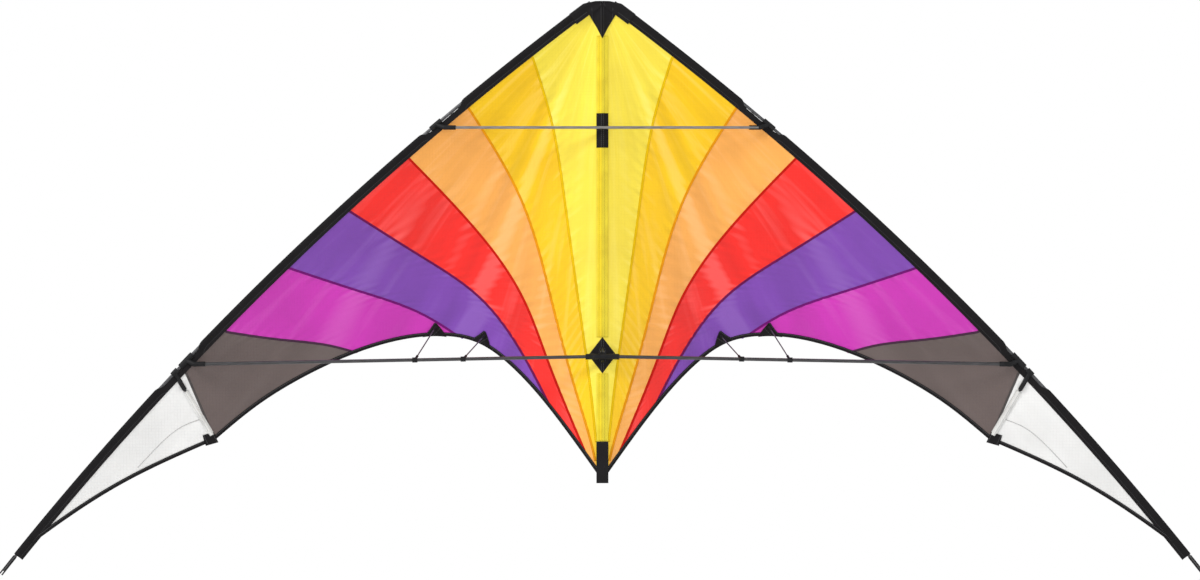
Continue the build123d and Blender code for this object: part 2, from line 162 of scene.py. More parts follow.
# A grid of points made a mesh. The UV map holds millimetres along its columns and its rows.
def gridMesh(name, points, side=1, ring=False, closed=False):
    points = points * np.array([side, 1, 1])
    rows, cols = points.shape[:2]
    step = np.linalg.norm(np.diff(points, axis=1), axis=2)
    u = np.concatenate([np.zeros((rows, 1)), np.cumsum(step, 1)], 1)
    down = np.linalg.norm(np.diff(points, axis=0), axis=2).mean(1)
    v = np.repeat(np.concatenate([[0], np.cumsum(down)])[:, None], cols, 1)
    index = np.arange(rows * cols).reshape(rows, cols)
    here, there = (index, np.roll(index, -1, 1)) if ring else (index[:, :-1], index[:, 1:])
    quads = np.stack([here[:-1], there[:-1], there[1:], here[1:]], -1).reshape(-1, 4)
    flat = points.reshape(-1, 3)
    a, b, c, d = (flat[quads[:, k]] for k in range(4))
    normal = np.cross(c - a, d - b)
    outward = (normal * ((a + c) / 2 - flat.mean(0))).sum() if ring else -normal[:, 1].sum()
    if outward < 0:
        quads = quads[:, ::-1]
    faces = quads.tolist()
    if closed:
        first, last = index[0].tolist(), index[-1].tolist()
        faces += [first[::-1], last] if outward >= 0 else [first, last[::-1]]
    mesh = bpy.data.meshes.new(name)
    mesh.from_pydata((flat * 0.001).tolist(), [], faces)
    spots = np.array([i for f in faces for i in f])
    layer = mesh.uv_layers.new(name="UVMap")
    layer.data.foreach_set("uv", np.stack([u.reshape(-1), v.reshape(-1)], -1)[spots].reshape(-1))
    mesh.shade_smooth()
    mesh.update()
    piece = bpy.data.objects.new(name, mesh)
    bpy.context.scene.collection.objects.link(piece)
    return piece


# A piece's material, wall, body and the CAD nodes it stands for. The wall grows inwards.
def finishWith(piece, material, body, replaced=(), wall=None):
    piece.data.materials.append(material)
    if wall:
        solid = piece.modifiers.new("wall", "SOLIDIFY")
        solid.thickness, solid.offset = wall * 0.001, -1.0  # metres
    if body:
        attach(piece, body)
    if replaced:
        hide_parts(*replaced)
    return piece


# Cloth across the centre line: its place baked into its mesh.
def acrossCentre(piece):
    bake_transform(piece)


# Cloth in plan put on the sail's surface, lifted towards the flyer.
def onSail(plan, lift=0.0):
    y = clothDepth(plan[..., 0], plan[..., 1])[0] - lift
    return np.stack([plan[..., 0], y, plan[..., 1]], -1)


# Four edges filled in: the two ruled surfaces added, less the bilinear one (a Coons patch).
def filled(top, bottom, first, last):
    u = np.linspace(0, 1, len(top))[None, :, None]
    v = np.linspace(0, 1, len(first))[:, None, None]
    ruled = (1 - v) * top[None] + v * bottom[None] + (1 - u) * first[:, None] + u * last[:, None]
    corners = (1 - v) * ((1 - u) * top[0] + u * top[-1]) + v * ((1 - u) * bottom[0] + u * bottom[-1])
    return ruled - corners


class Nodes:
    # A short way to add and link shader nodes.
    def __init__(self, name):
        self.material = bpy.data.materials.new(name)
        self.material.use_nodes = True
        self.tree = self.material.node_tree
        self.shader = self.tree.nodes["Principled BSDF"]

    def add(self, kind, values=None, **settings):
        node = self.tree.nodes.new(kind)
        for key, value in settings.items():
            setattr(node, key, value)
        for key, value in (values or {}).items():
            if isinstance(value, bpy.types.NodeSocket):
                self.tree.links.new(value, node.inputs[key])
            else:
                node.inputs[key].default_value = value
        return node

    def calc(self, operation, a, b=0.0):
        return self.add("ShaderNodeMath", {0: a, 1: b}, operation=operation).outputs[0]

    # From colour a to colour b by an amount from 0 to 1: sockets 0, 6 and 7 of the colour mix.
    def mix(self, amount, a, b):
        a, b = (end if isinstance(end, bpy.types.NodeSocket) else (*end, 1) for end in (a, b))
        return self.add("ShaderNodeMix", {0: amount, 6: a, 7: b}, data_type="RGBA").outputs[2]

    def noise(self, where, scale, detail=3.0):
        return self.add("ShaderNodeTexNoise", {"Vector": where, "Scale": scale, "Detail": detail}).outputs[0]

    def place(self, uv=False, scale=(1, 1, 1)):
        source = self.add("ShaderNodeTexCoord").outputs["UV" if uv else "Object"]
        return self.add("ShaderNodeMapping", {"Vector": source, "Scale": scale}).outputs[0]

    def parts(self, where):
        return self.add("ShaderNodeSeparateXYZ", {"Vector": where}).outputs

    # A value from low to high made one from outLow to outHigh, held at both ends.
    def range(self, value, low, high, outLow=0.0, outHigh=1.0):
        return self.add("ShaderNodeMapRange", {"Value": value, "From Min": low, "From Max": high,
                                               "To Min": outLow, "To Max": outHigh}).outputs[0]

    # A thread line: 1 within a half width of every whole step of a coordinate.
    def lines(self, value, pitch, half):
        wave = self.calc("PINGPONG", value, pitch / 2)
        return self.range(wave, half, 0.0)

    # The material's own shader, with a bump of the given depth in metres where there is a height.
    def finish(self, colour, roughness, height=None, depth=0.0002, **shader):
        self.tree.links.new(colour, self.shader.inputs["Base Color"])
        self.tree.links.new(roughness, self.shader.inputs["Roughness"])
        if height is not None:
            bump = self.add("ShaderNodeBump", {"Height": height, "Distance": depth, "Strength": 0.9})
            self.tree.links.new(bump.outputs[0], self.shader.inputs["Normal"])
        for key, value in shader.items():
            self.shader.inputs[key.replace("_", " ")].default_value = value
        return self.material


# A colour darker or lighter by a factor, at most 1.
def shade(colour, factor):
    return tuple(min(1.0, c * factor) for c in colour)


# A colour washed out by light: a little brighter, with a tenth of its peak added to what it lacks.
def paler(colour):
    return tuple(min(1.0, c * 1.05 + 0.10 * max(colour) * (1 - c)) for c in colour)


# The pitch and half width in metres of the thick threads and the thin ones, and the strength of a
# faint painted glow that stands in for the light that comes through the cloth.
ripstopWeave = {"grid": (0.005, 0.00035), "fine": (0.0009, 0.0002), "paintedGlow": 0.02}


# Ripstop: a fine weave with a thicker thread every 5 mm both ways, slightly mottled, with painted
# shade and painted highlight on its folds and on the streaks that flow out of the nose.
def ripstop(name, colour):
    n = Nodes(name)
    place = n.place()
    axis = n.parts(place)
    grid, weave = (n.calc("MAXIMUM", *(n.lines(axis[k], *ripstopWeave[kind]) for k in (0, 2)))
                   for kind in ("grid", "fine"))
    cloud = n.noise(place, 9.0, 4.0)
    flow = n.add("ShaderNodeAttribute", attribute_name="flow").outputs["Vector"]
    # Streaks that flow out of the nose: painted shade where the noise is high, painted highlight where it is
    # low.
    streak = n.noise(flow, 1.0, 3.0)
    tone = n.mix(n.range(cloud, 0.35, 0.68), shade(colour, 0.90), shade(colour, 1.04))
    tone = n.mix(n.range(streak, 0.50, 0.74, 0.0, 0.5), tone, shade(colour, 0.84))
    tone = n.mix(n.range(streak, 0.47, 0.27, 0.0, 0.6), tone, paler(colour))
    tone = n.mix(n.calc("MULTIPLY", grid, 0.20), tone, shade(colour, 0.78))
    # Painted shade where the crease attribute is high, painted highlight where it is low.
    fold = n.add("ShaderNodeAttribute", attribute_name="crease").outputs["Fac"]
    tone = n.mix(n.range(fold, 0.1, 1.1, 0.0, 0.6), tone, shade(colour, 0.74))
    tone = n.mix(n.range(fold, -0.2, -1.1, 0.0, 0.75), tone, paler(colour))
    rough = n.range(cloud, 0.3, 0.7, 0.42, 0.58)
    height = n.calc("ADD", n.calc("MULTIPLY", grid, 0.7), n.calc("MULTIPLY", weave, 0.10))
    height = n.calc("ADD", height, n.calc("MULTIPLY", n.noise(place, 60.0, 2.0), 1.2))
    material = n.finish(tone, rough, height, 0.00022, Sheen_Weight=0.15, Specular_IOR_Level=0.35)
    # Painted glow: the cloth emits a little of its own colour, standing in for light through it.
    n.shader.inputs["Emission Color"].default_value = (*colour, 1)
    n.shader.inputs["Emission Strength"].default_value = ripstopWeave["paintedGlow"]
    return material


# A strip with rows of stitches: each row is a dashed line along the strip. Zigzag rows swing.
# Rows, stitch, zigzag and weave are in millimetres, as the UV map is.
def stitched(name, colour, thread, rows, stitch=3.2, zigzag=0.0, weave=0.7, rough=(0.6, 0.75)):
    n = Nodes(name)
    uv = n.parts(n.place(uv=True))
    across, along = uv[0], uv[1]
    swing = n.calc("MULTIPLY", n.calc("PINGPONG", along, stitch), zigzag / stitch)
    marks = None
    for row in rows:
        off = n.calc("ABSOLUTE", n.calc("SUBTRACT", n.calc("ADD", across, swing), row))
        line = n.range(off, 0.42, 0.22)
        if not zigzag:
            line = n.calc("MULTIPLY", line, n.range(n.calc("PINGPONG", along, stitch / 2), 0.28, 0.45))
        marks = line if marks is None else n.calc("MAXIMUM", marks, line)
    where = n.place()
    fibre = n.noise(where, 900.0, 2.0)
    cloud = n.noise(where, 40.0, 3.0)
    threads = n.calc("MAXIMUM", n.lines(across, weave, weave * 0.3), n.lines(along, weave, weave * 0.3))
    base = n.mix(n.range(cloud, 0.3, 0.7), shade(colour, 0.86), shade(colour, 1.10))
    base = n.mix(n.calc("MULTIPLY", threads, 0.35), base, shade(colour, 0.6))
    tone = n.mix(marks, base, thread)
    height = n.calc("ADD", n.calc("MULTIPLY", threads, 0.35), n.calc("MULTIPLY", fibre, 0.35))
    height = n.calc("ADD", height, marks)
    return n.finish(tone, n.range(fibre, 0.3, 0.7, *rough), height, 0.0003, Specular_IOR_Level=0.1)


# Wrapped carbon rod: fine streaks along the span or the height, with a satin resin coat.
def carbonRod(name, stretch, dark=(0.016, 0.016, 0.018), light=(0.085, 0.085, 0.093)):
    n = Nodes(name)
    streak = n.noise(n.place(scale=stretch), 1.0, 4.0)
    speck = n.noise(n.place(), 600.0, 2.0)
    tone = n.mix(n.range(streak, 0.35, 0.7), dark, light)
    rough = n.range(speck, 0.3, 0.7, 0.30, 0.44)
    return n.finish(tone, rough, n.calc("ADD", streak, n.calc("MULTIPLY", speck, 0.3)), 0.00006,
                    Coat_Weight=0.35, Coat_Roughness=0.25)


# Moulded vinyl or nylon: black, softly mottled, with a fine grain and rubbed high spots.
def moulded(name, colour=(0.010, 0.010, 0.011), rough=(0.42, 0.60)):
    n = Nodes(name)
    place = n.place()
    grain, cloud = n.noise(place, 1500.0, 2.0), n.noise(place, 90.0, 4.0)
    tone = n.mix(n.range(cloud, 0.35, 0.7), shade(colour, 0.8), shade(colour, 1.7))
    return n.finish(tone, n.range(cloud, 0.3, 0.7, *rough), grain, 0.00008, Specular_IOR_Level=0.18)


# Braided cord: two sets of slanting strands round it.
def braided(name):
    n = Nodes(name)
    axis = n.parts(n.place())
    one = n.lines(n.calc("ADD", axis[2], axis[0]), 0.0011, 0.0004)
    two = n.lines(n.calc("SUBTRACT", axis[2], n.calc("ADD", axis[0], axis[1])), 0.0011, 0.0004)
    both = n.calc("MAXIMUM", one, two)
    tone = n.mix(both, (0.012, 0.012, 0.013), (0.06, 0.06, 0.062))
    return n.finish(tone, n.range(both, 0, 1, 0.8, 0.55), both, 0.0003, Sheen_Weight=0.3)


print("sail panels")
hole = {"half": 3.6, "middle": 2.0, "tall": 12.0}  # the slit that the tee goes through


# The sail's inner edge: the centre line, bulging out round the slit that the tee goes through.
# x = half width * sqrt(1 - ((z - middle) / tall)^2) inside the slit and 0 elsewhere.
def centreEdge(top, bottom, count):
    z = np.linspace(top, bottom, count)
    inside = np.clip(1 - ((z - hole["middle"]) / hole["tall"]) ** 2, 0, None)
    return np.stack([sail["centreGap"] + hole["half"] * np.sqrt(inside), z], -1)


# Puckers along a seam: a short ripple of the distance along it, dying away across the cloth
# and towards the seam's lower end, where the panels grow narrow.
def pucker(along, distance, whole):
    wave = np.sin(2 * math.pi * along / creases["puckerLength"])
    wave = wave + 0.6 * np.sin(2 * math.pi * along / (1.7 * creases["puckerLength"]) + 1.3)
    fade = np.clip((whole - along) / creases["puckerFade"], 0, 1)
    return creases["puckerHeight"] * wave * fade * np.exp(-distance / creases["puckerReach"])


# A point moved outwards from the sail's arc, so that the cloth ends inside the sleeve.
def underSleeve(point, reach=4.0):
    way = np.array([point[0] - arcX, point[1] - arcZ])
    return np.array([arcX, arcZ]) + way / np.hypot(*way) * (sail["edgeRadius"] + reach)


seamLines = [evenly(np.concatenate([underSleeve(p[0])[None], curveThrough(p, 400)]), 400) for p in seams]


# A panel in plan, numbered from the centre: filled in between its two seams, the leading edge
# and the hem. The first starts at the centre line and the last ends in the tip.
def panelPlan(number, rows, cols):
    tip = np.array(outerHem[-1])
    nose = np.array([sail["centreGap"], sail["noseHeight"] + 0.5])
    corners = ([nose] + [line[0] for line in seamLines] + [tip])[number:number + 2]
    end = ([line[-1] for line in seamLines] + [tip])[number]
    turn = np.linspace(*[math.atan2(p[0] - arcX, p[1] - arcZ) for p in corners], cols)
    reach = np.linspace(*[math.hypot(p[0] - arcX, p[1] - arcZ) for p in corners], cols)
    top = np.stack([arcX + reach * np.sin(turn), arcZ + reach * np.cos(turn)], -1)
    first = evenly(seamLines[number - 1], rows) if number else centreEdge(nose[1], sail["footLevel"], rows)
    last = evenly(seamLines[number], rows) if number < len(seamLines) else np.tile(tip, (rows, 1))
    if number < 2:
        bottom = np.linspace(first[-1], end, cols)
    else:
        bottom = stretchOf(hemLine, first[-1] if number > 2 else innerHem[0], end, cols)
        bottom[0] = first[-1]
    return filled(top, bottom, first, last)


# Every panel on both sides. A panel's puckers come from the seams on its two sides, and its crease
# and flow attributes carry its folds and the way they run to the material, as painted shade and highlight.
def buildPanels():
    pieces = {}
    for number, (colourName, colour) in enumerate(panels.items()):
        material = ripstop("ripstop_" + colourName, colour)
        rows, cols = (240, 30) if number == 0 else (150, 44)
        plan = panelPlan(number, rows, cols)
        points = onSail(plan)
        step = np.linalg.norm(np.diff(plan, axis=1), axis=2)
        fromFirst = np.concatenate([np.zeros((rows, 1)), np.cumsum(step, 1)], 1)
        fromLast = fromFirst[:, -1:] - fromFirst
        folds = clothDepth(plan[..., 0], plan[..., 1])[1]
        for edgeNumber, distance in ((number - 1, fromFirst), (number, fromLast)):
            if 0 <= edgeNumber < len(seamLines):
                whole = np.linalg.norm(np.diff(seamLines[edgeNumber], axis=0), axis=1).sum()
                along = np.linspace(0, whole, rows)[:, None]
                ripple = pucker(along, distance, whole)
                points[..., 1] += ripple
                # The puckers also add painted shade and painted highlight through the crease attribute.
                folds = folds + ripple / creases["puckerHeight"] * creases["puckerPaintedShading"]
        share, distance = shareAt(plan[..., 0], plan[..., 1])
        flow = np.stack([share * 21, distance / 300, share * 0], -1)
        for side, sign in sides:
            piece = gridMesh(f"panel_{colourName}_{side}", points, sign)
            layer = piece.data.attributes.new("crease", "FLOAT", "POINT")
            layer.data.foreach_set("value", folds.reshape(-1).astype(np.float32))
            layer = piece.data.attributes.new("flow", "FLOAT_VECTOR", "POINT")
            layer.data.foreach_set("vector", (flow * (1, 1, sign)).reshape(-1).astype(np.float32))
            crossing = number <= 2
            finishWith(piece, material, None if crossing else f"wing_{side}",
                       [f"sail_panel_{colourName}_{side}"])
            if crossing:
                acrossCentre(piece)
            pieces[number, side] = piece
    return pieces


# The flat size of a panel: its area, and the box of its own long and cross directions, found
# from the singular vectors of its points and widened by a hundredth for the belly.
def flatSize(piece):
    mesh = piece.data
    points = np.empty(len(mesh.vertices) * 3)
    mesh.vertices.foreach_get("co", points)
    points = points.reshape(-1, 3)
    areas = np.empty(len(mesh.polygons))
    mesh.polygons.foreach_get("area", areas)
    centred = points - points.mean(0)
    axes = np.linalg.svd(centred[::7], full_matrices=False)[2]
    spans = np.ptp(centred @ axes.T, axis=0)
    area = float(areas.sum())
    length, width = float(spans[0]) * 1.01, float(spans[1])
    return (round(max(width, area / length) * 1.01, 4), round(length, 4)), round(area, 5)


# A ribbon along a line in plan: its width is centred on the line and follows the cloth, with
# the puckers of a seam of the given whole length.
def ribbonOnSail(line, width, lift, cols=5, whole=0.0):
    normal = leftOf(line)
    across = np.linspace(-width / 2, width / 2, cols)
    plan = line[:, None] + normal[:, None] * across[None, :, None]
    points = onSail(plan, lift)
    if whole:
        along = np.concatenate([[0], np.cumsum(np.linalg.norm(np.diff(line, axis=0), axis=1))])
        points[..., 1] += pucker(along[:, None], np.abs(across)[None], whole)
    return points


# Each seam's colour, where one translucent cloth lies over the next.
seam = {"width": 3.6, "lift": 0.45, "wall": 0.25, "trimmed": 8, "rows": 260, "stitches": (0.9, 3.3),
        "colours": ((0.95, 0.60, 0.002), (0.95, 0.36, 0.004), (0.66, 0.010, 0.003),
                    (0.170, 0.010, 0.100), (0.190, 0.008, 0.190), (0.075, 0.030, 0.065),
                    (0.100, 0.090, 0.088))}


# The ribbons over the seams, each trimmed at its lower end to stay off the hem.
def buildSeams():
    made = {}
    for number, line in enumerate(seamLines):
        tint = seam["colours"][number]
        material = stitched(f"seam_{number + 1}", tint, shade(tint, 0.80), seam["stitches"], rough=(0.5, 0.6))
        whole = np.linalg.norm(np.diff(line, axis=0), axis=1).sum()
        points = ribbonOnSail(evenly(line[:-seam["trimmed"]], seam["rows"]), seam["width"], seam["lift"], 7,
                              whole)
        for side, sign in sides:
            piece = gridMesh(f"seam_{number + 1}_{side}", points, sign)
            crossing = number <= 1
            finishWith(piece, material, None if crossing else f"wing_{side}", (),
                       wall=seam["wall"])
            if crossing:
                acrossCentre(piece)
            made[number, side] = piece
    return made


tipStitches = {"line": [(641, -101), (668, -112), (703, -140), (738, -177)], "width": 1.8, "lift": 0.3,
               "wall": 0.2, "colour": (0.80, 0.80, 0.79), "thread": (0.42, 0.42, 0.41)}


# The curved row of stitches across each tip panel.
def buildTipStitches():
    half = tipStitches["width"] / 2
    material = stitched("tip_stitches", tipStitches["colour"], tipStitches["thread"], (half,), stitch=4.0)
    line = curveThrough(tipStitches["line"], 120)
    points = ribbonOnSail(line, tipStitches["width"], tipStitches["lift"], 3)
    for side, sign in sides:
        piece = gridMesh(f"tip_stitches_{side}", points, sign)
        finishWith(piece, material, f"wing_{side}", (), wall=tipStitches["wall"])


panelPieces = buildPanels()
buildTipStitches()
seamPieces = buildSeams()
for (number, side), piece in panelPieces.items():
    flat, area = flatSize(piece)


# The strip down the spine, above and below the diamond patch, and a darker yellow band of painted
# shadow of the spine on its left half: distances from the centre line, lift, and the sides that have it.
centreStrip = {"upper": (508.0, 30.0), "lower": (-27.0, -134.0), "wall": 0.25,
               "strip": (0.0, 9.2, 0.8, ("right", "left")), "spineShadow": (0.2, 6.6, 1.1, ("left",)),
               "spineShadowColour": (1.0, 0.73, 0.035)}


# Flat bands laid on the sail's surface, with zigzag stitches on the strip and painted shadow of the spine on
# the left half.
def buildCentreStrip():
    yellow = panels["pale_yellow"]
    strip = stitched("centre_strip", shade(yellow, 0.95), shade(yellow, 0.55), (4.8,), stitch=2.6,
                     zigzag=1.5, rough=(0.5, 0.6))
    # Painted shadow of the spine: a darker yellow band on the left half, with two rows of stitches.
    spineShadow = stitched("centre_spine_shadow", centreStrip["spineShadowColour"], shade(yellow, 0.62), (0.8, 5.4),
                        rough=(0.5, 0.6))
    for name, material in (("strip", strip), ("spineShadow", spineShadow)):
        inner, outer, lift, where = centreStrip[name]
        for part in ("upper", "lower"):
            z = np.linspace(*centreStrip[part], 160)[:, None]
            x = np.linspace(inner, outer, 9)[None, :]
            points = onSail(np.stack(np.broadcast_arrays(x, z), -1), lift)
            for side, sign in sides:
                if side in where:
                    piece = gridMesh(f"centre_{name}_{part}_{side}", points, sign)
                    finishWith(piece, material, None, (), wall=centreStrip["wall"])
                    acrossCentre(piece)


buildCentreStrip()


tape = {"width": 5.6, "bulge": 0.85, "overEdge": 1.1, "wall": 0.3, "thread": (0.10, 0.10, 0.105)}


# The profile of a folded tape, inwards from the cloth's edge and across it: two flats joined by
# half an ellipse round the edge.
def hemProfile():
    turn = np.linspace(-math.pi / 2, math.pi / 2, 9)
    flatIn = np.linspace(tape["width"], 0.8, 6)
    front = np.stack([flatIn, np.full(6, -tape["bulge"])], -1)
    fold = np.stack([0.7 - tape["overEdge"] * np.cos(turn), tape["bulge"] * np.sin(turn)], -1)
    back = front[::-1] * np.array([1, -1])
    return np.concatenate([front, fold, back])


# The profile carried along each hem. The inner hem is one piece across the centre line.
def buildHems():
    material = stitched("hem_tape", blackCloth, tape["thread"], (1.6,), weave=0.6)
    profile = hemProfile()
    innerLine = evenly(curveThrough(innerHem, 700), 700)
    outerLine = evenly(curveThrough(outerHem, 320), 320)
    for side, sign in sides:
        for part, line in (("inner", innerLine), ("outer", outerLine)):
            plan = line[:, None] + leftOf(line)[:, None] * profile[None, :, :1]
            points = onSail(plan, 0)
            points[..., 1] += profile[None, :, 1]
            piece = gridMesh(f"hem_{part}_{side}", points, sign)
            replaced = [f"trailing_edge_tape_{side}"] if part == "inner" else []
            finishWith(piece, material, f"wing_{side}" if part == "outer" else None, replaced,
                       wall=tape["wall"])
            if part == "inner":
                acrossCentre(piece)


buildHems()


sleeve = {"start": 60.0, "end": 1289.0, "radius": 4.0, "inner": -12.6, "seamHalf": 0.65,
          "cuts": ((276.0, 368.0, -3.0), (841.0, 950.0, -1.6)), "scoop": 0.2, "flange": -8.0,
          "wall": 0.3, "thread": (0.05, 0.05, 0.053)}  # a cut is its start, its stop and its reach


# How far out the sleeve reaches at each distance. In a cut it scoops in to the cut's own
# reach: radius + (reach - radius) * smooth hump of the share of the way along the cut.
def sleeveReach(s):
    out = np.full(s.shape, sleeve["radius"])
    for start, stop, reach in sleeve["cuts"]:
        share = (s - start) / (stop - start)
        hump = np.clip(np.minimum(share, 1 - share) / sleeve["scoop"], 0, 1)
        out += (reach - sleeve["radius"]) * hump * hump * (3 - 2 * hump)
    return out


# Half thickness of the sleeve: round over the rod, then straight down to the sewn edge. It
# closes at the outer edge as the square root of the distance from that edge.
def sleeveHalf(u, out):
    radius, thin = sleeve["radius"], sleeve["seamHalf"]
    neck, shoulder = -0.6 * radius, 0.8 * radius
    flange = sleeve["flange"]
    ramp = thin + (shoulder - thin) * (u - flange) / (neck - flange)
    arch = np.sqrt(np.clip(radius ** 2 - u ** 2, 0, None))
    half = np.where(u > neck, arch, np.where(u > flange, ramp, thin))
    flatter = np.clip((out + 3.4) / (radius + 3.4), 0, 1)
    half = thin + (half - thin) * flatter
    return half * np.where(out > radius - 0.01, 1, np.sqrt(np.clip((out - u) / 1.4, 0, 1)))


# The sleeve's cross-section at each distance: out along its front and back along its rear, with
# a slight ripple of the distance. It can be grown about the rod's centre.
def sleevePoints(s, count=26, grown=1.0):
    out = sleeveReach(s)[:, None]
    turn = np.linspace(0, math.pi, count)[None]
    u = out - (out - sleeve["inner"]) * (1 - np.cos(turn)) / 2
    half = sleeveHalf(u, out) * grown
    u = u * grown
    around = np.concatenate([u, u[:, -2:0:-1]], 1)
    depth = np.concatenate([-half, half[:, -2:0:-1]], 1)
    ripple = 0.13 * np.sin(s / 7.3) + 0.10 * np.sin(s / 3.1 + 1.0)
    depth = depth + ripple[:, None] * np.sign(depth)
    plan = edgeAt(s[:, None], around)
    return np.stack([plan[..., 0], sail["plane"] + depth, plan[..., 1]], -1)


# Each leading-edge sleeve, one ring of cloth from the nose webbing to the tip.
def buildSleeves():
    material = stitched("sleeve_cloth", blackCloth, sleeve["thread"], (14.6,), weave=0.8)
    points = sleevePoints(np.linspace(sleeve["start"], sleeve["end"], 620))
    for side, sign in sides:
        piece = gridMesh(f"sleeve_{side}", points, sign, ring=True)
        finishWith(piece, material, f"wing_{side}", [f"leading_edge_sleeve_{side}"],
                   wall=sleeve["wall"])


buildSleeves()


# Corners in plan and lifts towards the flyer. The diamond is its half width at four heights.
patch = {"wear": [(0, 385), (9.5, 385), (9.5, 330.5), (0, 330.5)], "wearLift": 1.5,
         "diamondHeights": [-27, 0, 3.6, 30.5], "diamondHalves": [0.05, 20.8, 20.8, 0.05],
         "standoff": {"outer": [(270.0, 52.0), (267.0, 51.8), (250.0, 29.5), (289.0, 29.0)],
                      "inner": [(190.5, 39.5), (187.8, 38.5), (180.0, 12.0), (212.5, 25.5)]},
         "elbow": [(619.5, -121.5), (636.5, -126.5), (632, -143.5), (612.5, -138)],
         "elbowLift": 1.3, "lift": 1.4, "bow": -0.04, "wall": 0.4, "standoffWall": 0.5,
         "thread": (0.09, 0.09, 0.095)}


# A patch on the sail from four corners in plan: each edge is a line plus a bow across it of
# bow * 4 * t * (1 - t), and the middle is filled in.
def patchPoints(corners, lift, count=24, bow=0.0):
    a, b, c, d = (np.array(p, float) for p in corners)

    def edge(p, q):
        t = np.linspace(0, 1, count)[:, None]
        way = q - p
        side = np.array([-way[1], way[0]])
        return p + t * way + bow * 4 * t * (1 - t) * side

    return onSail(filled(edge(a, b), edge(d, c), edge(a, d), edge(b, c)), lift)


# Half of the diamond: rows from the slit that the tee goes through to the slanting sides.
def diamondPoints():
    heights, halves = patch["diamondHeights"], patch["diamondHalves"]
    slit = centreEdge(heights[-1], heights[0], 70)
    width = np.maximum(np.interp(slit[:, 1], heights, halves) - slit[:, 0], 0.05)
    x = slit[:, :1] + width[:, None] * np.linspace(0, 1, 16)[None, :]
    return onSail(np.stack([x, np.broadcast_to(slit[:, 1:], x.shape)], -1), patch["lift"])


# The wear patch and the diamond on the centre line, and each wing's patches.
def buildPatches():
    material = stitched("patch_webbing", blackCloth, patch["thread"], (2.0, 16.5), weave=0.8)
    wear = patchPoints(patch["wear"], patch["wearLift"])
    for side, sign in sides:
        for name, points in (("wear_patch", wear), ("diamond_patch", diamondPoints())):
            piece = gridMesh(f"{name}_{side}", points, sign)
            replaced = [f"centre_patches_{side}"] if name == "wear_patch" else []
            finishWith(piece, material, None, replaced, wall=patch["wall"])
            acrossCentre(piece)
        for name, corners in patch["standoff"].items():
            points = patchPoints(corners, patch["lift"], bow=patch["bow"])
            piece = gridMesh(f"standoff_patch_{name}_{side}", points, sign)
            replaced = [f"edge_patches_{side}"] if name == "outer" else []
            finishWith(piece, material, f"wing_{side}", replaced, wall=patch["standoffWall"])
        for front, lift in (("front", patch["elbowLift"]), ("back", -patch["elbowLift"])):
            piece = gridMesh(f"elbow_patch_{front}_{side}", patchPoints(patch["elbow"], lift), sign)
            finishWith(piece, material, f"wing_{side}", [], wall=patch["wall"])


buildPatches()


# The webbing's stretch along the edge, how far it is grown, and its cut top as heights at places
# across. The point is its half width at each height.
nose = {"along": (3.0, 62.0), "grown": 1.22, "across": [0, 11, 30, 60], "top": [562.4, 562.2, 558.4, 640],
        "heights": [503.5, 520, 541, 546, 556, 561.5], "halves": [0.3, 8.5, 21.0, 25.0, 16.0, 10.0],
        "lift": 1.2, "ridge": 0.8, "wall": 0.5, "thread": (0.07, 0.07, 0.073)}


# Webbing round the rods' upper ends: the sleeve's ring a little larger, cut level on top,
# with a point of cloth below that narrows to a tip on the centre line. A ridge of
# exp(-(x / width)^2) closes its middle.
def buildNose():
    material = stitched("nose_webbing", blackWebbing, nose["thread"], (3.0, 18.0), weave=1.1)
    webbing = sleevePoints(np.linspace(*nose["along"], 40), grown=nose["grown"])
    level = np.interp(webbing[..., 0], nose["across"], nose["top"])
    webbing[..., 2] = np.minimum(webbing[..., 2], level)
    webbing[..., 0] = np.maximum(webbing[..., 0], 0.1)
    z = np.linspace(nose["heights"][-1], nose["heights"][0], 60)[:, None]
    x = np.interp(z, nose["heights"], nose["halves"]) * np.linspace(0, 1, 14)[None]
    point = onSail(np.stack([x, np.broadcast_to(z, x.shape)], -1), nose["lift"])
    point[..., 1] -= nose["ridge"] * np.exp(-(x / 1.2) ** 2)
    for side, sign in sides:
        piece = gridMesh(f"nose_webbing_{side}", webbing, sign, ring=True, closed=True)
        finishWith(piece, material, None, [f"nose_patch_{side}"])
        acrossCentre(piece)
        piece = gridMesh(f"nose_point_{side}", point, sign)
        finishWith(piece, material, None, [], wall=nose["wall"])
        acrossCentre(piece)


buildNose()


# The batten runs from a place along the leading edge to the elbow; the pocket covers a share of it.
pocket = {"station": 906.0, "share": (0.28, 0.93), "half": 4.5, "lift": 1.2, "rise": 2.9, "rod": 2.3,
          "wall": 0.25, "colour": (0.84, 0.84, 0.82), "thread": (0.50, 0.49, 0.47)}


# A flat strip with a rise over the batten of rise * exp(-(across / rod)^4).
def buildPockets():
    material = stitched("pocket_cloth", pocket["colour"], pocket["thread"], (0.9, 8.0))
    start, end = edgeAt(pocket["station"]), np.array(innerHem[-1])
    line = start + (end - start) * np.linspace(*pocket["share"], 120)[:, None]
    across = np.linspace(-pocket["half"], pocket["half"], 19)
    plan = line[:, None] + leftOf(line)[:, None] * across[None, :, None]
    points = onSail(plan, pocket["lift"])
    points[..., 1] -= pocket["rise"] * np.exp(-(across[None] / pocket["rod"]) ** 4)
    for side, sign in sides:
        piece = gridMesh(f"batten_pocket_{side}_cloth", points, sign)
        finishWith(piece, material, f"wing_{side}", [f"batten_pocket_{side}"],
                   wall=pocket["wall"])


buildPockets()


tail = {"half": 9.5, "top": -135.0, "bottom": -200.8, "front": -7.2, "thick": 1.0, "bulge": 11.6,
        "foot": 5.2, "thread": (0.06, 0.06, 0.063)}


